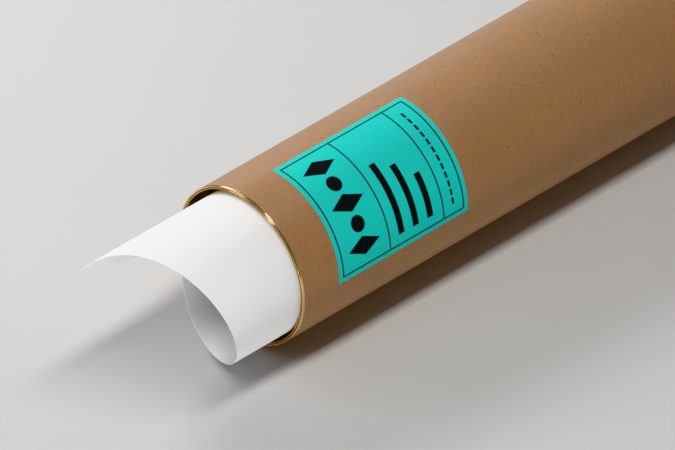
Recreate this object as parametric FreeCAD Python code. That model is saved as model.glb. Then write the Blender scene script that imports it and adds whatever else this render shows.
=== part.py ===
import FreeCAD, Part

import math
import os

# A cardboard mailing tube that stands on its closed metal end, with a rolled print in it.
# Millimetres. +Z runs up the tube's axis, z = 0 is the foot and the label faces -Y.

# Driving dimensions of the tube and its metal ends
tube_diameter = 100.0  # outside of the wound board
tube_length = 612.0  # foot to mouth, metal ends included
board_thickness = 1.6
metal_thickness = 0.3
bead_height = 1.4  # how far a metal bead stands past the end of the board
bead_overhang = 0.2  # how far a bead reaches past the outside of the board
bead_corner = 1.0
mouth_skirt_depth = 9.0  # how far the mouth ring's skirt reaches down the bore
end_recess = 5.6  # how far the closed end's disc is sunk above the foot
end_disc_thickness = 0.4
end_corner = 1.2  # inside radius where the sunk disc turns into its skirt

# Driving dimensions of the label and the print on it
label_width = 85.0  # along the curve of the tube
label_height = 103.8
label_thickness = 0.12
paste_thickness = 0.03  # between the board and the label
label_below_mouth = 29.2
ink_thickness = 0.05
frame_inset = 3.0
rule_width = 0.9
upper_rule_share = 0.386  # of the printed frame's height, from its top
lower_rule_share = 0.828
field_margin = 7.0  # free space at the left and right of each printed field
ornament_count = 5
lozenge_width = 11.5
lozenge_height = 25.0
disc_diameter = 10.0
bar_height = 4.6
bar_pitch = 11.6
bar_shares = (1.0, 0.86, 0.62)  # lengths of the three bars, as shares of bar_length
bar_length = 45.0
dash_count = 12
dash_height = 1.6
dash_share = 0.72  # of a dash's pitch that is printed

# Driving dimensions of the rolled print
sheet_width = 420.0
sheet_length = 594.0
sheet_thickness = 0.3
roll_play = 2.9  # how much smaller in radius the roll is than the mouth, at its standing corner
turn_pitch = 0.9  # from one turn of the sheet to the next
winding_skew = 19.4  # degrees that the sheet is wound askew
tip_angle = 13.85  # degrees from +X round to the corner that stands out of the mouth
roll_seat_gap = 0.2  # between the roll's lowest corner and the sunk disc
roll_lean_direction = 241.5  # degrees from +X round to where the roll leans on the board
roll_lean_gap = 0.3  # between the roll's widest turn and the board, where it leans
sheet_points_across = 61  # points of the fitted surface along each edge of the sheet
sheet_points_along = 49

# Sizes that follow
board_outer = tube_diameter / 2
board_inner = board_outer - board_thickness
bead_outer = board_outer + bead_overhang
skirt_inner = board_inner - metal_thickness
board_bottom = bead_height
board_top = tube_length - bead_height
disc_top = end_recess + end_disc_thickness
label_inner = board_outer + paste_thickness
label_outer = label_inner + label_thickness
ink_outer = label_outer + ink_thickness
label_top = tube_length - label_below_mouth
label_bottom = label_top - label_height
frame_top = label_top - frame_inset
frame_bottom = label_bottom + frame_inset
frame_width = label_width - 2 * frame_inset
frame_height = frame_top - frame_bottom
upper_rule = frame_top - upper_rule_share * frame_height
lower_rule = frame_top - lower_rule_share * frame_height
field_width = frame_width - 2 * field_margin

UP = FreeCAD.Vector(0, 0, 1)
ORIGIN = FreeCAD.Vector(0, 0, 0)


def at(radius, z):
    """A point of a section that is turned about the tube's axis."""
    return FreeCAD.Vector(radius, 0, z)


def line(start, end):
    return Part.LineSegment(start, end).toShape()


def corner(centre, radius, start, end):
    """A quarter round of a section, between two angles in degrees."""
    middle = (start + end) / 2

    def point(angle):
        turn = math.radians(angle)
        return centre + FreeCAD.Vector(radius * math.cos(turn), 0, radius * math.sin(turn))

    return Part.Arc(point(start), point(middle), point(end)).toShape()


def turned(edges):
    """The ring that a closed section makes when it is turned about the tube's axis."""
    face = Part.Face(Part.Wire(Part.__sortEdges__(edges)))
    return face.revolve(ORIGIN, UP, 360)


def tube_body():
    """The wound board wall, open at both ends."""
    height = board_top - board_bottom
    base = FreeCAD.Vector(0, 0, board_bottom)
    outside = Part.makeCylinder(board_outer, height, base, UP)
    bore = Part.makeCylinder(board_inner, height, base, UP)
    return outside.cut(bore)


def mouth_ring():
    """The metal ring on the mouth: a bead that covers the board's end, and a skirt down the bore."""
    skirt_foot = board_top - mouth_skirt_depth
    shoulder = tube_length - bead_corner
    outer_centre = at(bead_outer - bead_corner, shoulder)
    inner_centre = at(skirt_inner + bead_corner, shoulder)
    edges = [
        line(at(bead_outer, board_top), at(bead_outer, shoulder)),
        corner(outer_centre, bead_corner, 0, 90),
        line(at(bead_outer - bead_corner, tube_length), at(skirt_inner + bead_corner, tube_length)),
        corner(inner_centre, bead_corner, 90, 180),
        line(at(skirt_inner, shoulder), at(skirt_inner, skirt_foot)),
        line(at(skirt_inner, skirt_foot), at(board_inner, skirt_foot)),
        line(at(board_inner, skirt_foot), at(board_inner, board_top)),
        line(at(board_inner, board_top), at(bead_outer, board_top)),
    ]
    return turned(edges)


def closed_end():
    """The metal end: a bead that is the foot, a skirt up the bore and a sunk disc across it."""
    fillet_outer = end_corner + metal_thickness
    skirt_top = disc_top - fillet_outer
    disc_edge = board_inner - fillet_outer
    edges = [
        line(at(0, end_recess), at(0, disc_top)),
        line(at(0, disc_top), at(disc_edge, disc_top)),
        corner(at(disc_edge, skirt_top), fillet_outer, 90, 0),
        line(at(board_inner, skirt_top), at(board_inner, board_bottom)),
        line(at(board_inner, board_bottom), at(bead_outer, board_bottom)),
        line(at(bead_outer, board_bottom), at(bead_outer, bead_corner)),
        corner(at(bead_outer - bead_corner, bead_corner), bead_corner, 0, -90),
        line(at(bead_outer - bead_corner, 0), at(skirt_inner + bead_corner, 0)),
        corner(at(skirt_inner + bead_corner, bead_corner), bead_corner, -90, -180),
        line(at(skirt_inner, bead_corner), at(skirt_inner, end_recess - end_corner)),
        corner(at(skirt_inner - end_corner, end_recess - end_corner), end_corner, 0, 90),
        line(at(skirt_inner - end_corner, end_recess), at(0, end_recess)),
    ]
    return turned(edges)


def skin_patch(left, right, bottom, top, inner, outer):
    """A thin patch on the tube. left and right are lengths along its curve, from the middle of the front."""
    first = -90 + math.degrees(left / inner)
    sweep = math.degrees((right - left) / inner)
    ring = Part.makeCylinder(outer, top - bottom, ORIGIN, UP, sweep)
    ring = ring.cut(Part.makeCylinder(inner, top - bottom))
    ring.rotate(ORIGIN, UP, first)
    ring.translate(FreeCAD.Vector(0, 0, bottom))
    return ring


def label():
    """The pasted paper label."""
    half = label_width / 2
    return skin_patch(-half, half, label_bottom, label_top, label_inner, label_outer)


def ink_patch(left, right, bottom, top):
    return skin_patch(left, right, bottom, top, label_outer, ink_outer)


def ink_cutout(middle, z, outline):
    """The ink under a flat outline in the XZ plane, centred on the front and carried round the curve."""
    reach = lozenge_height
    prism = Part.Face(outline).extrude(FreeCAD.Vector(0, -2 * board_outer, 0))
    shape = ink_patch(-reach, reach, -reach, reach).common(prism)
    shape.rotate(ORIGIN, UP, math.degrees(middle / label_outer))
    shape.translate(FreeCAD.Vector(0, 0, z))
    return shape


def lozenge_outline():
    half_width = lozenge_width / 2
    half_height = lozenge_height / 2
    points = [(0, half_height), (half_width, 0), (0, -half_height), (-half_width, 0), (0, half_height)]
    return Part.makePolygon([FreeCAD.Vector(x, 0, z) for x, z in points])


def disc_outline():
    circle = Part.Circle(ORIGIN, FreeCAD.Vector(0, 1, 0), disc_diameter / 2)
    return Part.Wire(circle.toShape())


def frame_and_rules():
    """The ruled frame round the label and the two rules that divide it."""
    half = frame_width / 2
    window = half - rule_width
    levels = [frame_top, upper_rule, lower_rule, frame_bottom + rule_width]
    ink = ink_patch(-half, half, frame_bottom, frame_top)
    for above, below in zip(levels, levels[1:]):
        ink = ink.cut(ink_patch(-window, window, below, above - rule_width))
    return [ink]


def ornaments():
    """A row of lozenges and discs in the upper field."""
    z = (frame_top + upper_rule) / 2
    pitch = (field_width - lozenge_width) / (ornament_count - 1)
    start = -(field_width - lozenge_width) / 2
    shapes = []
    for number in range(ornament_count):
        outline = lozenge_outline() if number % 2 == 0 else disc_outline()
        shapes.append(ink_cutout(start + number * pitch, z, outline))
    return shapes


def bars():
    """Three plain bars in the middle field, set to its left."""
    left = -field_width / 2
    middle = (upper_rule + lower_rule) / 2
    shapes = []
    for number, share in enumerate(bar_shares):
        z = middle + (1 - number) * bar_pitch
        right = left + share * bar_length
        shapes.append(ink_patch(left, right, z - bar_height / 2, z + bar_height / 2))
    return shapes


def dashes():
    """A fine dashed line in the lower field."""
    z = (lower_rule + frame_bottom) / 2
    pitch = field_width / dash_count
    shapes = []
    for number in range(dash_count):
        left = -field_width / 2 + number * pitch
        shapes.append(ink_patch(left, left + dash_share * pitch, z - dash_height / 2, z + dash_height / 2))
    return shapes


def label_print():
    """The ink on the label: one thin solid for the frame, and one for each mark inside it."""
    return Part.makeCompound(frame_and_rules() + ornaments() + bars() + dashes())


# The rolled print follows a spiral that comes inwards as it goes round clockwise, seen from above.
# On the flat sheet, across runs from the standing corner along the short edge, and along runs
# from the same corner down the long edge.
skew = math.radians(winding_skew)
roll_radius = skirt_inner - roll_play
roll_rise = sheet_length * math.cos(skew) + sheet_width * math.sin(skew)
tip_height = disc_top + roll_seat_gap + roll_rise
arc_before_tip = sheet_length * math.sin(skew)
widest_radius = roll_radius + turn_pitch * arc_before_tip / roll_radius / (2 * math.pi)
lean_reach = board_inner - roll_lean_gap - widest_radius
lean = math.radians(roll_lean_direction)
roll_middle = FreeCAD.Vector(lean_reach * math.cos(lean), lean_reach * math.sin(lean), 0)


def spiral_angle(arc):
    """The angle turned after a length of arc, from the spiral's outer end."""
    shrink = turn_pitch / (4 * math.pi)
    return (widest_radius - math.sqrt(widest_radius ** 2 - 4 * shrink * arc)) / (2 * shrink)


angle_before_tip = spiral_angle(arc_before_tip)


def sheet_point(across, along, depth):
    """Where a point of the flat sheet lies on the roll. depth runs from its outer face inwards."""
    arc = arc_before_tip + across * math.cos(skew) - along * math.sin(skew)
    height = tip_height - across * math.sin(skew) - along * math.cos(skew)
    turned_by = spiral_angle(arc)
    radius = widest_radius - turn_pitch * turned_by / (2 * math.pi) - depth
    angle = math.radians(tip_angle) + angle_before_tip - turned_by
    return roll_middle + FreeCAD.Vector(radius * math.cos(angle), radius * math.sin(angle), height)


def sheet_face(depth):
    """One face of the sheet as a smooth surface."""
    rows = []
    for i in range(sheet_points_across):
        across = sheet_width * i / (sheet_points_across - 1)
        row = []
        for j in range(sheet_points_along):
            along = sheet_length * j / (sheet_points_along - 1)
            row.append(sheet_point(across, along, depth))
        rows.append(row)
    surface = Part.BSplineSurface()
    surface.interpolate(rows)
    return surface


def sheet_edge(outer_curve, inner_curve):
    """The narrow face along one edge of the sheet, straight between the curves of its two faces."""
    surface = Part.BSplineSurface()
    surface.buildFromPolesMultsKnots(
        [outer_curve.getPoles(), inner_curve.getPoles()],
        [2, 2],
        outer_curve.getMultiplicities(),
        [0.0, 1.0],
        outer_curve.getKnots(),
        False,
        False,
        1,
        outer_curve.Degree,
    )
    return surface.toShape()


def rolled_print():
    """The sheet as one solid: its two faces, joined along its four edges."""
    outside = sheet_face(0)
    inside = sheet_face(sheet_thickness)
    faces = [outside.toShape(), inside.toShape()]
    u_first, u_last, v_first, v_last = outside.bounds()
    for u in (u_first, u_last):
        faces.append(sheet_edge(outside.uIso(u), inside.uIso(u)))
    for v in (v_first, v_last):
        faces.append(sheet_edge(outside.vIso(v), inside.vIso(v)))
    shell = Part.makeShell(faces)
    shell.sewShape()
    solid = Part.makeSolid(shell)
    if solid.Volume < 0:
        solid.reverse()
    return solid


nodes = {
    "tube_body": tube_body,
    "mouth_ring": mouth_ring,
    "closed_end": closed_end,
    "label": label,
    "label_print": label_print,
    "rolled_print": rolled_print,
}

os.makedirs("parts", exist_ok=True)
for name, make in nodes.items():
    shape = make()
    box = shape.BoundBox
    print(
        name,
        "solids", len(shape.Solids),
        "valid", shape.isValid(),
        "volume", round(shape.Volume, 1),
        "box", [round(v, 2) for v in (box.XMin, box.YMin, box.ZMin, box.XMax, box.YMax, box.ZMax)],
    )
    shape.exportStep("parts/" + name + ".step")
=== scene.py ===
"""A cardboard mailing tube that stands on its closed metal end, with a rolled print in it.

Metres throughout. +Z runs up the tube's axis, z = 0 is the foot and the label faces -Y.
The tube is seen as it would look lying down: the camera is rolled, and a backdrop touches
the tube where the surface under it would be.
"""

import math

import bmesh
import bpy
from mathutils import Matrix, Vector


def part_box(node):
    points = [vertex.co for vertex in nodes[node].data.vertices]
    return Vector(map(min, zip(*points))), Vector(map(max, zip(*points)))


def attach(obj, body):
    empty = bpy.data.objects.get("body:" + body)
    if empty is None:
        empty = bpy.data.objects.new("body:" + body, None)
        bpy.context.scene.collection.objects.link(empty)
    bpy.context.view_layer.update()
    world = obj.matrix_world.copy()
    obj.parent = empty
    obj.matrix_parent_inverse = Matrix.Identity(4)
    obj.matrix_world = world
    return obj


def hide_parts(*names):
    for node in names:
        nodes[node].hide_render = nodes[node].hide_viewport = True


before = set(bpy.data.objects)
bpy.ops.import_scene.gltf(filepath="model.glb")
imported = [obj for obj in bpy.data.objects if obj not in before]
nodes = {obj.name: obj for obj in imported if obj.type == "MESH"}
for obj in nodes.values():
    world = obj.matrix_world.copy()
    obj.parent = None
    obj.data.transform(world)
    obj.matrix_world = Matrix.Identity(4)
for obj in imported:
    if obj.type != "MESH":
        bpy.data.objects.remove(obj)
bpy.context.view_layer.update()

MM = 0.001

# Sizes of the tube, its metal ends and its label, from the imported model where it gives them
board_low, board_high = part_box("tube_body")
ring_low, ring_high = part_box("mouth_ring")
_, end_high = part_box("closed_end")
label_low, label_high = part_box("label")
board_thickness = 1.6 * MM
board_outer = board_high.x
board_inner = board_outer - board_thickness
board_bottom = board_low.z
board_top = board_high.z
board_arris = 0.12 * MM
metal_thickness = 0.3 * MM
skirt_inner = board_inner - metal_thickness
skirt_foot = ring_low.z
mouth = ring_high.z
bead_outer = ring_high.x
bead_sweep = 150  # degrees of curve on the mouth's bead, from its outer side to the groove's wall
lip_width = 0.55 * MM  # the ring's inner lip, with a fine groove between it and the bead
lip_drop = 0.1 * MM  # how much lower than the bead the lip lies
groove_width = 0.4 * MM
groove_depth = 0.6 * MM
groove_inner = skirt_inner + lip_width
groove_outer = groove_inner + groove_width
groove_floor = mouth - groove_depth
disc_top = end_high.z
disc_thickness = 0.4 * MM
end_corner = 1.2 * MM
foot_corner = 1.0 * MM
paste_thickness = 0.03 * MM
label_thickness = 0.12 * MM
label_inner = board_outer + paste_thickness
label_outer = label_inner + label_thickness
label_half_width = 42.5 * MM

# The rolled sheet
sheet_width = 420 * MM
sheet_length = 594 * MM
sheet_thickness = 0.3 * MM
turn_pitch = 0.9 * MM
skew = math.radians(19.4)
tip_angle = math.radians(13.85)
roll_play = 2.9 * MM
roll_radius = skirt_inner - roll_play
roll_lean_direction = math.radians(241.5)
roll_lean_gap = 0.3 * MM
roll_seat_gap = 0.2 * MM

# The camera, in a picture of 675 x 450 pixels: the mouth's centre falls on mouth_pixel
picture_width = 675
picture_height = 450
mouth_pixel = (240.9, 266.3)
pixels_per_metre = 1757
camera_azimuth = math.radians(-1.15)
camera_elevation = math.atan(math.sqrt(0.5))
camera_roll = math.radians(120)
lens = 1000  # this and the sensor's width in millimetres
sensor = 36
clip_near = 1.0
clip_far = 60.0

# Stage: the floor is a square and the backdrop an upright sheet, both in one pale grey
floor_reach = 6.0
backdrop_reach = 1.3
backdrop_height = 2.4
stage_grey = (0.58, 0.576, 0.57)

# Finish of the meshes
steps_round = 288
rounding_steps = 6
weld_distance = 0.0005 * MM
sharp_angle = math.radians(35)
label_steps = (96, 60)
sheet_steps = (180, 140)

# Finish of the materials: the part of a noise's range that is carried to 0..1
noise_low = 0.3
noise_high = 0.7


# Geometry

def rounding(radius_at, height_at, size, first, last):
    """Points of a rounded corner of a section, between two angles in degrees."""
    points = []
    for step in range(rounding_steps + 1):
        angle = math.radians(first + (last - first) * step / rounding_steps)
        points.append((radius_at + size * math.cos(angle), height_at + size * math.sin(angle)))
    return points


def finished(name, mesh, node, material):
    """A piece of the tube: shaded, riding on the frame and standing for its plain solid."""
    mesh.shade_smooth()
    mesh.set_sharp_from_angle(angle=sharp_angle)
    mesh.materials.append(material)
    piece = bpy.data.objects.new(name, mesh)
    bpy.context.scene.collection.objects.link(piece)
    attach(piece, "root")
    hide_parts(node)


def turned_mesh(name, section, closed):
    """The surface that a section of (radius, height) points makes when it is turned about the axis."""
    bm = bmesh.new()
    verts = [bm.verts.new((radius, 0, height)) for radius, height in section]
    pairs = list(zip(verts, verts[1:]))
    if closed:
        pairs.append((verts[-1], verts[0]))
    edges = [bm.edges.new(pair) for pair in pairs]
    bmesh.ops.spin(
        bm,
        geom=verts + edges,
        axis=(0, 0, 1),
        cent=(0, 0, 0),
        angle=2 * math.pi,
        steps=steps_round,
        use_merge=True,
    )
    bmesh.ops.remove_doubles(bm, verts=bm.verts, dist=weld_distance)
    bmesh.ops.recalc_face_normals(bm, faces=bm.faces)
    mesh = bpy.data.meshes.new(name)
    bm.to_mesh(mesh)
    bm.free()
    return mesh


def two_sided_grid(name, steps, point):
    """A thin closed skin. point(across, along, depth) places its points, with shares from 0 to 1."""
    across_steps, along_steps = steps
    verts = []
    for depth in (0, 1):
        for i in range(across_steps + 1):
            for j in range(along_steps + 1):
                verts.append(point(i / across_steps, j / along_steps, depth))
    row = along_steps + 1
    layer = (across_steps + 1) * row
    faces = []
    for i in range(across_steps):
        for j in range(along_steps):
            first = i * row + j
            quad = (first, first + 1, first + row + 1, first + row)
            faces.append(quad)
            faces.append(tuple(layer + corner for corner in reversed(quad)))
    left = range(row)
    right = range(across_steps * row, layer)
    near = range(0, layer, row)
    far = range(along_steps, layer, row)
    for edge in (left, right, near, far):
        for start, end in zip(edge, edge[1:]):
            faces.append((start, end, layer + end, layer + start))
    mesh = bpy.data.meshes.new(name)
    mesh.from_pydata(verts, [], faces)
    bm = bmesh.new()
    bm.from_mesh(mesh)
    bmesh.ops.recalc_face_normals(bm, faces=bm.faces)
    bm.to_mesh(mesh)
    bm.free()
    return mesh


def board_wall(material):
    """The wound board, with the arris of each cut end just broken."""
    section = []
    section += rounding(board_outer - board_arris, board_bottom + board_arris, board_arris, -90, 0)
    section += rounding(board_outer - board_arris, board_top - board_arris, board_arris, 0, 90)
    section += rounding(board_inner + board_arris, board_top - board_arris, board_arris, 90, 180)
    section += rounding(board_inner + board_arris, board_bottom + board_arris, board_arris, 180, 270)
    mesh = turned_mesh("board_wall", section, closed=True)
    finished("board_wall", mesh, "tube_body", material)


def mouth_bead(material):
    """The metal ring on the mouth: its rolled bead, a fine groove, an inner lip and the skirt."""
    bead = (bead_outer - groove_outer) / 2
    lip = lip_width / 2
    section = [(bead_outer, board_top)]
    section += rounding(bead_outer - bead, mouth - bead, bead, 0, bead_sweep)
    section += [(groove_outer, groove_floor), (groove_inner, groove_floor)]
    section += rounding(skirt_inner + lip, mouth - lip_drop - lip, lip, 0, 180)
    section += [(skirt_inner, skirt_foot), (board_inner, skirt_foot), (board_inner, board_top)]
    mesh = turned_mesh("mouth_bead", section, closed=True)
    finished("mouth_bead", mesh, "mouth_ring", material)


def end_cup(material):
    """The metal end: the bead it stands on, the skirt and the sunk disc."""
    fillet = end_corner + metal_thickness
    disc_bottom = disc_top - disc_thickness
    section = [(0, disc_top)]
    section += rounding(board_inner - fillet, disc_top - fillet, fillet, 90, 0)
    section += [(board_inner, board_bottom), (bead_outer, board_bottom)]
    section += rounding(bead_outer - foot_corner, foot_corner, foot_corner, 0, -90)
    section += rounding(skirt_inner + foot_corner, foot_corner, foot_corner, -90, -180)
    section += rounding(skirt_inner - end_corner, disc_bottom - end_corner, end_corner, 0, 90)
    section += [(0, disc_bottom)]
    mesh = turned_mesh("end_cup", section, closed=False)
    finished("end_cup", mesh, "closed_end", material)


def label_paper(material):
    """The label, pasted round the front of the tube."""
    height = label_high.z - label_low.z

    def point(across, along, depth):
        radius = label_inner if depth else label_outer
        angle = -math.pi / 2 + (2 * across - 1) * label_half_width / label_inner
        return (radius * math.cos(angle), radius * math.sin(angle), label_low.z + along * height)

    mesh = two_sided_grid("label_paper", label_steps, point)
    finished("label_paper", mesh, "label", material)


def label_ink(material):
    """The print on the label keeps its own solids and takes the ink."""
    ink = nodes["label_print"]
    ink.data.materials.clear()
    ink.data.materials.append(material)


def rolled_sheet(material):
    """The print, wound askew along a spiral, with one corner standing out of the mouth."""
    arc_before_tip = sheet_length * math.sin(skew)
    widest = roll_radius + turn_pitch * arc_before_tip / roll_radius / (2 * math.pi)
    lean_reach = board_inner - roll_lean_gap - widest
    middle_x = lean_reach * math.cos(roll_lean_direction)
    middle_y = lean_reach * math.sin(roll_lean_direction)
    rise = sheet_length * math.cos(skew) + sheet_width * math.sin(skew)
    tip_height = disc_top + roll_seat_gap + rise
    shrink = turn_pitch / (4 * math.pi)

    def angle_turned(arc):
        """How far round the spiral an arc reaches: arc = widest * angle - shrink * angle ** 2."""
        return (widest - math.sqrt(widest ** 2 - 4 * shrink * arc)) / (2 * shrink)

    start = tip_angle + angle_turned(arc_before_tip)

    def point(across, along, depth):
        right = across * sheet_width
        down = along * sheet_length
        turned = angle_turned(arc_before_tip + right * math.cos(skew) - down * math.sin(skew))
        radius = widest - turn_pitch * turned / (2 * math.pi) - depth * sheet_thickness
        angle = start - turned
        height = tip_height - right * math.sin(skew) - down * math.cos(skew)
        return (middle_x + radius * math.cos(angle), middle_y + radius * math.sin(angle), height)

    mesh = two_sided_grid("rolled_sheet", sheet_steps, point)
    finished("rolled_sheet", mesh, "rolled_print", material)


# Materials

def new_group(name, inputs, outputs):
    """An empty node group with named number inputs and outputs, and its two end nodes."""
    group = bpy.data.node_groups.new(name, "ShaderNodeTree")
    for label, default in inputs.items():
        socket = group.interface.new_socket(label, in_out="INPUT", socket_type="NodeSocketFloat")
        socket.default_value = default
    for label in outputs:
        group.interface.new_socket(label, in_out="OUTPUT", socket_type="NodeSocketFloat")
    return group, group.nodes.new("NodeGroupInput"), group.nodes.new("NodeGroupOutput")


def maths(tree, operation, first, second=0.0):
    """A maths node. first and second are sockets or numbers, and some operations use the first alone."""
    node = tree.nodes.new("ShaderNodeMath")
    node.operation = operation
    for socket, value in zip(node.inputs, (first, second)):
        if isinstance(value, bpy.types.NodeSocket):
            tree.links.new(value, socket)
        else:
            socket.default_value = value
    return node.outputs[0]


def spread(tree, value):
    """A noise's value carried from noise_low..noise_high to 0..1."""
    node = tree.nodes.new("ShaderNodeMapRange")
    tree.links.new(value, node.inputs["Value"])
    node.inputs["From Min"].default_value = noise_low
    node.inputs["From Max"].default_value = noise_high
    return node.outputs["Result"]


def noise(tree, where, scale, detail, roughness):
    """A noise texture's value. scale is a socket or a number of lumps to the metre."""
    node = tree.nodes.new("ShaderNodeTexNoise")
    tree.links.new(where, node.inputs["Vector"])
    node.inputs["Detail"].default_value = detail
    node.inputs["Roughness"].default_value = roughness
    if isinstance(scale, bpy.types.NodeSocket):
        tree.links.new(scale, node.inputs["Scale"])
    else:
        node.inputs["Scale"].default_value = scale
    return node.outputs["Fac"]


def blended(tree, share, first, second):
    """A colour between two others. Each may be a socket or a colour."""
    node = tree.nodes.new("ShaderNodeMix")
    node.data_type = "RGBA"
    # The node's colour sockets are taken by number, because their names repeat for other kinds of data
    factor, first_socket, second_socket = node.inputs[0], node.inputs[6], node.inputs[7]
    tree.links.new(share, factor)
    for socket, value in ((first_socket, first), (second_socket, second)):
        if isinstance(value, bpy.types.NodeSocket):
            tree.links.new(value, socket)
        else:
            socket.default_value = (*value, 1)
    return node.outputs[2]


def paper_grain_group():
    """Pulp: broad clouds, fine fibres laid round the tube, and scattered specks."""
    fibre_slenderness = 6.0
    largest_speck = 0.12
    inputs = {"Cloud Scale": 30.0, "Fibre Scale": 900.0, "Speck Scale": 160.0, "Speck Share": 0.1}
    group, entry, leave = new_group("paper_grain", inputs, ["Clouds", "Fibres", "Specks"])
    place = group.nodes.new("ShaderNodeTexCoord").outputs["Object"]
    clouds = noise(group, place, entry.outputs["Cloud Scale"], detail=4, roughness=0.6)
    lay = group.nodes.new("ShaderNodeMapping")
    lay.inputs["Scale"].default_value = (1.0, 1.0, fibre_slenderness)
    group.links.new(place, lay.inputs["Vector"])
    fibres = noise(group, lay.outputs["Vector"], entry.outputs["Fibre Scale"], detail=5, roughness=0.7)
    cells = group.nodes.new("ShaderNodeTexVoronoi")
    group.links.new(place, cells.inputs["Vector"])
    group.links.new(entry.outputs["Speck Scale"], cells.inputs["Scale"])
    split = group.nodes.new("ShaderNodeSeparateColor")
    group.links.new(cells.outputs["Color"], split.inputs["Color"])
    chosen = maths(group, "LESS_THAN", split.outputs["Red"], entry.outputs["Speck Share"])
    reach = maths(group, "MULTIPLY", split.outputs["Green"], largest_speck)
    near = maths(group, "LESS_THAN", cells.outputs["Distance"], reach)
    group.links.new(spread(group, clouds), leave.inputs["Clouds"])
    group.links.new(spread(group, fibres), leave.inputs["Fibres"])
    group.links.new(maths(group, "MULTIPLY", chosen, near), leave.inputs["Specks"])
    return group


def blank_material(name, roughness, metallic=0.0):
    """A new material and its main shader, with the uniform values set on the shader itself."""
    material = bpy.data.materials.new(name)
    material.use_nodes = True
    shader = material.node_tree.nodes["Principled BSDF"]
    shader.inputs["Roughness"].default_value = roughness
    shader.inputs["Metallic"].default_value = metallic
    return material, material.node_tree, shader


def placed_grain(tree, group, cloud, fibre, speck, share):
    """The paper grain group in a material, with that material's own scales."""
    node = tree.nodes.new("ShaderNodeGroup")
    node.node_tree = group
    node.inputs["Cloud Scale"].default_value = cloud
    node.inputs["Fibre Scale"].default_value = fibre
    node.inputs["Speck Scale"].default_value = speck
    node.inputs["Speck Share"].default_value = share
    return node.outputs


def bumped(tree, shader, height, depth):
    """Raises the shader's surface by height, which runs from 0 to 1, times depth in metres."""
    node = tree.nodes.new("ShaderNodeBump")
    node.inputs["Strength"].default_value = 1.0
    node.inputs["Distance"].default_value = depth
    tree.links.new(height, node.inputs["Height"])
    tree.links.new(node.outputs["Normal"], shader.inputs["Normal"])


def kraft_board(grain):
    """Brown kraft paper: clouded and finely fibrous, with a soft sheen and small dark specks."""
    darker, paler = (0.400, 0.216, 0.099), (0.445, 0.241, 0.111)
    fibre_brown = (0.250, 0.136, 0.066)
    speck_brown = (0.11, 0.065, 0.035)
    speck_strength = 0.5
    material, tree, shader = blank_material("kraft_board", roughness=0.5)
    shader.inputs["Specular IOR Level"].default_value = 0.5
    shader.inputs["Sheen Weight"].default_value = 0.1
    pulp = placed_grain(tree, grain, cloud=26, fibre=420, speck=150, share=0.9)
    clouded = blended(tree, pulp["Clouds"], darker, paler)
    fibrous = blended(tree, pulp["Fibres"], clouded, fibre_brown)
    speck_share = maths(tree, "MULTIPLY", pulp["Specks"], speck_strength)
    specked = blended(tree, speck_share, fibrous, speck_brown)
    tree.links.new(specked, shader.inputs["Base Color"])
    bumped(tree, shader, pulp["Fibres"], depth=0.02 * MM)
    return material


def teal_paper(grain):
    """The label's coated paper, printed in one teal."""
    teal, darker_teal = (0.036, 0.575, 0.520), (0.040, 0.550, 0.500)
    cloud_strength = 0.5
    material, tree, shader = blank_material("teal_paper", roughness=0.6)
    shader.inputs["Specular IOR Level"].default_value = 0.12
    pulp = placed_grain(tree, grain, cloud=40, fibre=1400, speck=200, share=0.0)
    cloud_share = maths(tree, "MULTIPLY", pulp["Clouds"], cloud_strength)
    clouded = blended(tree, cloud_share, teal, darker_teal)
    tree.links.new(clouded, shader.inputs["Base Color"])
    bumped(tree, shader, pulp["Fibres"], depth=0.006 * MM)
    return material


def black_ink(grain):
    """Black ink on the label, a little uneven in its shine."""
    black, paler_black = (0.014, 0.016, 0.016), (0.018, 0.022, 0.022)
    smoothest, roughness_range = 0.35, 0.2
    material, tree, shader = blank_material("black_ink", roughness=0.5)
    shader.inputs["Specular IOR Level"].default_value = 0.1
    pulp = placed_grain(tree, grain, cloud=60, fibre=1400, speck=200, share=0.0)
    clouded = blended(tree, pulp["Clouds"], black, paler_black)
    tree.links.new(clouded, shader.inputs["Base Color"])
    unevenness = maths(tree, "MULTIPLY", pulp["Fibres"], roughness_range)
    tree.links.new(maths(tree, "ADD", unevenness, smoothest), shader.inputs["Roughness"])
    return material


def white_paper(grain):
    """Heavy white art paper, matt, with a trace of grain. It lets a little light through."""
    white, greyer_white = (0.86, 0.86, 0.855), (0.83, 0.83, 0.825)
    cloud_strength = 0.5
    material, tree, shader = blank_material("white_paper", roughness=0.7)
    shader.inputs["Specular IOR Level"].default_value = 0.3
    shader.inputs["Subsurface Weight"].default_value = 1.0
    shader.inputs["Subsurface Radius"].default_value = (1.0, 1.0, 1.0)
    shader.inputs["Subsurface Scale"].default_value = 0.5 * MM
    pulp = placed_grain(tree, grain, cloud=20, fibre=900, speck=200, share=0.0)
    cloud_share = maths(tree, "MULTIPLY", pulp["Clouds"], cloud_strength)
    clouded = blended(tree, cloud_share, white, greyer_white)
    tree.links.new(clouded, shader.inputs["Base Color"])
    bumped(tree, shader, pulp["Fibres"], depth=0.008 * MM)
    return material


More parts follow.
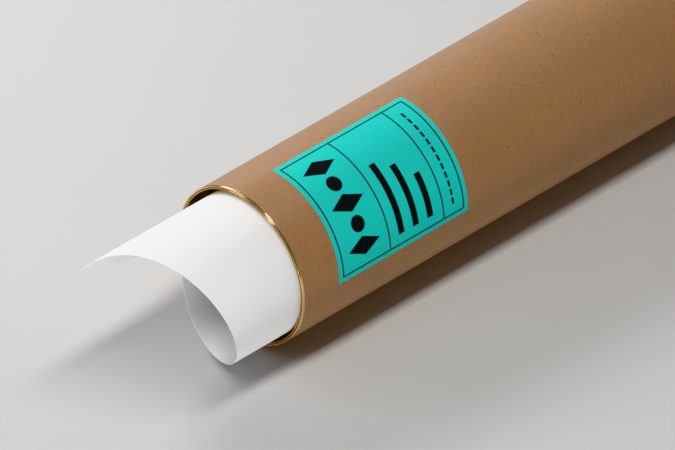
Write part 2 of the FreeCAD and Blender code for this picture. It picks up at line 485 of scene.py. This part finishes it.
def painted_shade_mask(tree, place):
    """1 in the mouth ring's groove, where shade is painted into the gold, and 0 elsewhere, from the place
    on the piece.
    """
    wall_margin = 0.03 * MM
    floor_margin = 0.1 * MM
    split = tree.nodes.new("ShaderNodeSeparateXYZ")
    tree.links.new(place, split.inputs["Vector"])
    across = maths(tree, "POWER", split.outputs["X"], 2.0)
    deep = maths(tree, "POWER", split.outputs["Y"], 2.0)
    radius = maths(tree, "SQRT", maths(tree, "ADD", across, deep))
    groove_middle = groove_inner + groove_width / 2
    off_middle = maths(tree, "ABSOLUTE", maths(tree, "SUBTRACT", radius, groove_middle))
    by_groove = maths(tree, "LESS_THAN", off_middle, groove_width / 2 + wall_margin)
    at_mouth = maths(tree, "GREATER_THAN", split.outputs["Z"], groove_floor - floor_margin)
    return maths(tree, "MULTIPLY", by_groove, at_mouth)


def gold_metal():
    """Polished gold metal, with faint rub marks that run round the tube, and painted shade in the ring's
    groove.
    """
    gold, rubbed_gold = (0.95, 0.64, 0.32), (0.90, 0.59, 0.285)
    # Painted shade: a dark brown laid over the gold in the ring's groove
    painted_shade_brown = (0.17, 0.095, 0.045)
    rub_slenderness = 30.0
    smoothest, roughness_range = 0.12, 0.02
    material, tree, shader = blank_material("gold_metal", roughness=0.16, metallic=1.0)
    place = tree.nodes.new("ShaderNodeTexCoord").outputs["Object"]
    lay = tree.nodes.new("ShaderNodeMapping")
    lay.inputs["Scale"].default_value = (1.0, 1.0, rub_slenderness)
    tree.links.new(place, lay.inputs["Vector"])
    rubbed = spread(tree, noise(tree, lay.outputs["Vector"], scale=120, detail=4, roughness=0.6))
    colour = blended(tree, rubbed, gold, rubbed_gold)
    # The groove's darkness is painted shade in the colour, not only the shade from its form
    shaded = blended(tree, painted_shade_mask(tree, place), colour, painted_shade_brown)
    tree.links.new(shaded, shader.inputs["Base Color"])
    unevenness = maths(tree, "MULTIPLY", rubbed, roughness_range)
    tree.links.new(maths(tree, "ADD", unevenness, smoothest), shader.inputs["Roughness"])
    return material


# Camera and stage

def photo_axes():
    """The camera's back, right and up directions, with its roll."""
    azimuth, elevation = camera_azimuth, camera_elevation
    back = Vector((
        math.sin(azimuth) * math.cos(elevation),
        -math.cos(azimuth) * math.cos(elevation),
        math.sin(elevation),
    ))
    level_right = Vector((math.cos(azimuth), math.sin(azimuth), 0))
    level_up = back.cross(level_right)
    right = math.cos(camera_roll) * level_right - math.sin(camera_roll) * level_up
    up = math.sin(camera_roll) * level_right + math.cos(camera_roll) * level_up
    return back, right, up


def lying_axes(back):
    """Level directions up from, and along, the surface that the tube seems to lie on."""
    front = Vector((back.x, back.y, 0)).normalized()
    sideways = Vector((0, 0, 1)).cross(front)
    return (front + sideways).normalized(), (front - sideways).normalized()


def add_camera(back, right, up):
    """A long lens, placed so that the mouth's centre falls on its pixel."""
    distance = picture_width * lens * MM / (sensor * MM * pixels_per_metre)
    across = (picture_width / 2 - mouth_pixel[0]) / pixels_per_metre
    above = (mouth_pixel[1] - picture_height / 2) / pixels_per_metre
    data = bpy.data.cameras.new("camera")
    data.lens = lens
    data.sensor_width = sensor
    data.clip_start = clip_near
    data.clip_end = clip_far
    camera = bpy.data.objects.new("camera", data)
    bpy.context.scene.collection.objects.link(camera)
    place = Vector((0, 0, mouth)) + across * right + above * up + distance * back
    turn = Matrix((right, up, back)).transposed().to_4x4()
    camera.matrix_world = Matrix.Translation(place) @ turn
    bpy.context.scene.camera = camera


def flat_sheet(name, corner, first, second, material):
    """A plain rectangle of the stage, from one corner along two sides."""
    points = [corner, corner + first, corner + first + second, corner + second]
    mesh = bpy.data.meshes.new(name)
    mesh.from_pydata([tuple(p) for p in points], [], [(0, 1, 2, 3)])
    mesh.materials.append(material)
    sheet = bpy.data.objects.new(name, mesh)
    bpy.context.scene.collection.objects.link(sheet)
    return sheet


def stage_material(name, colour, one_sided):
    """A pale matt surface. A one-sided one can't be seen from behind."""
    material, tree, shader = blank_material(name, roughness=0.8)
    shader.inputs["Base Color"].default_value = (*colour, 1)
    shader.inputs["Specular IOR Level"].default_value = 0.1
    if one_sided:
        clear = tree.nodes.new("ShaderNodeBsdfTransparent")
        behind = tree.nodes.new("ShaderNodeNewGeometry").outputs["Backfacing"]
        choose = tree.nodes.new("ShaderNodeMixShader")
        share, front_shader, back_shader = choose.inputs
        tree.links.new(behind, share)
        tree.links.new(shader.outputs["BSDF"], front_shader)
        tree.links.new(clear.outputs["BSDF"], back_shader)
        tree.links.new(choose.outputs["Shader"], tree.nodes["Material Output"].inputs["Surface"])
    return material


def add_stage(lying_up, lying_side):
    """The floor under the foot, and the backdrop that the tube seems to lie on."""
    pale = stage_material("floor", stage_grey, one_sided=False)
    corner = Vector((-floor_reach, -floor_reach, 0))
    first = Vector((2 * floor_reach, 0, 0))
    second = Vector((0, 2 * floor_reach, 0))
    floor = flat_sheet("floor", corner, first, second, pale)
    floor.visible_shadow = False
    paper = stage_material("backdrop", stage_grey, one_sided=True)
    corner = -bead_outer * lying_up - backdrop_reach * lying_side
    first = 2 * backdrop_reach * lying_side
    second = Vector((0, 0, backdrop_height))
    backdrop = flat_sheet("backdrop", corner, first, second, paper)
    if backdrop.data.polygons[0].normal.dot(lying_up) < 0:
        backdrop.data.flip_normals()
    backdrop.visible_shadow = False


def add_soft_light(name, centre, target, along, size, power, colour):
    """A lamp that faces target. size is its width and its length, and its length lies along."""
    data = bpy.data.lights.new(name, "AREA")
    data.shape = "RECTANGLE"
    data.size, data.size_y = size
    data.energy = power
    data.color = colour
    lamp = bpy.data.objects.new(name, data)
    bpy.context.scene.collection.objects.link(lamp)
    facing = (centre - target).normalized()
    level = along.cross(facing).normalized()
    turn = Matrix((level, facing.cross(level), facing)).transposed().to_4x4()
    lamp.matrix_world = Matrix.Translation(centre) @ turn
    lamp.visible_camera = False


def add_lights(lying_up, lying_side):
    """Studio light: a long strip above the tube as it seems to lie, a window to its side, and fills."""
    axis = Vector((0, 0, 1))

    def place(up, side, height):
        """A point by its distances from the tube's axis as it seems to lie, and its height along it."""
        return up * lying_up + side * lying_side + height * axis

    strip_height = 0.92
    middle = place(0, 0, 0.6)
    white = (1.0, 0.98, 0.96)
    cool = (0.97, 0.99, 1.01)
    add_soft_light(
        "strip",
        centre=place(1.1, 0.23, strip_height),
        target=place(0, 0, strip_height),
        along=axis,
        size=(0.22, 1.55),
        power=11.7,
        colour=white,
    )
    add_soft_light(
        "window",
        centre=place(0.72, -1.03, 0.52),
        target=middle,
        along=place(0.3, 0, 1),
        size=(0.3, 0.8),
        power=10.0,
        colour=cool,
    )
    add_soft_light(
        "mouth_fill",
        centre=place(0.48, -0.8, 1.5),
        target=middle,
        along=axis,
        size=(0.4, 0.4),
        power=2.6,
        colour=white,
    )
    add_soft_light(
        "side_fill",
        centre=place(-0.42, 1.3, 1.55),
        target=middle,
        along=axis,
        size=(0.8, 0.8),
        power=10.8,
        colour=cool,
    )
    add_soft_light(
        "back_fill",
        centre=place(-1.9, -0.2, 1.1),
        target=middle,
        along=axis,
        size=(1.0, 1.0),
        power=2.5,
        colour=white,
    )
    world = bpy.data.worlds.new("studio")
    world.use_nodes = True
    sky = world.node_tree.nodes["Background"]
    sky.inputs["Color"].default_value = (0.55, 0.82, 1.0, 1)
    sky.inputs["Strength"].default_value = 0.04
    bpy.context.scene.world = world


def build():
    """Makes the pieces with their materials, then the camera, the stage and the light."""
    grain = paper_grain_group()
    gold = gold_metal()
    board_wall(kraft_board(grain))
    mouth_bead(gold)
    end_cup(gold)
    label_paper(teal_paper(grain))
    label_ink(black_ink(grain))
    rolled_sheet(white_paper(grain))
    back, right, up = photo_axes()
    add_camera(back, right, up)
    lying_up, lying_side = lying_axes(back)
    add_stage(lying_up, lying_side)
    add_lights(lying_up, lying_side)
    bpy.context.scene.view_settings.view_transform = "Khronos PBR Neutral"


build()
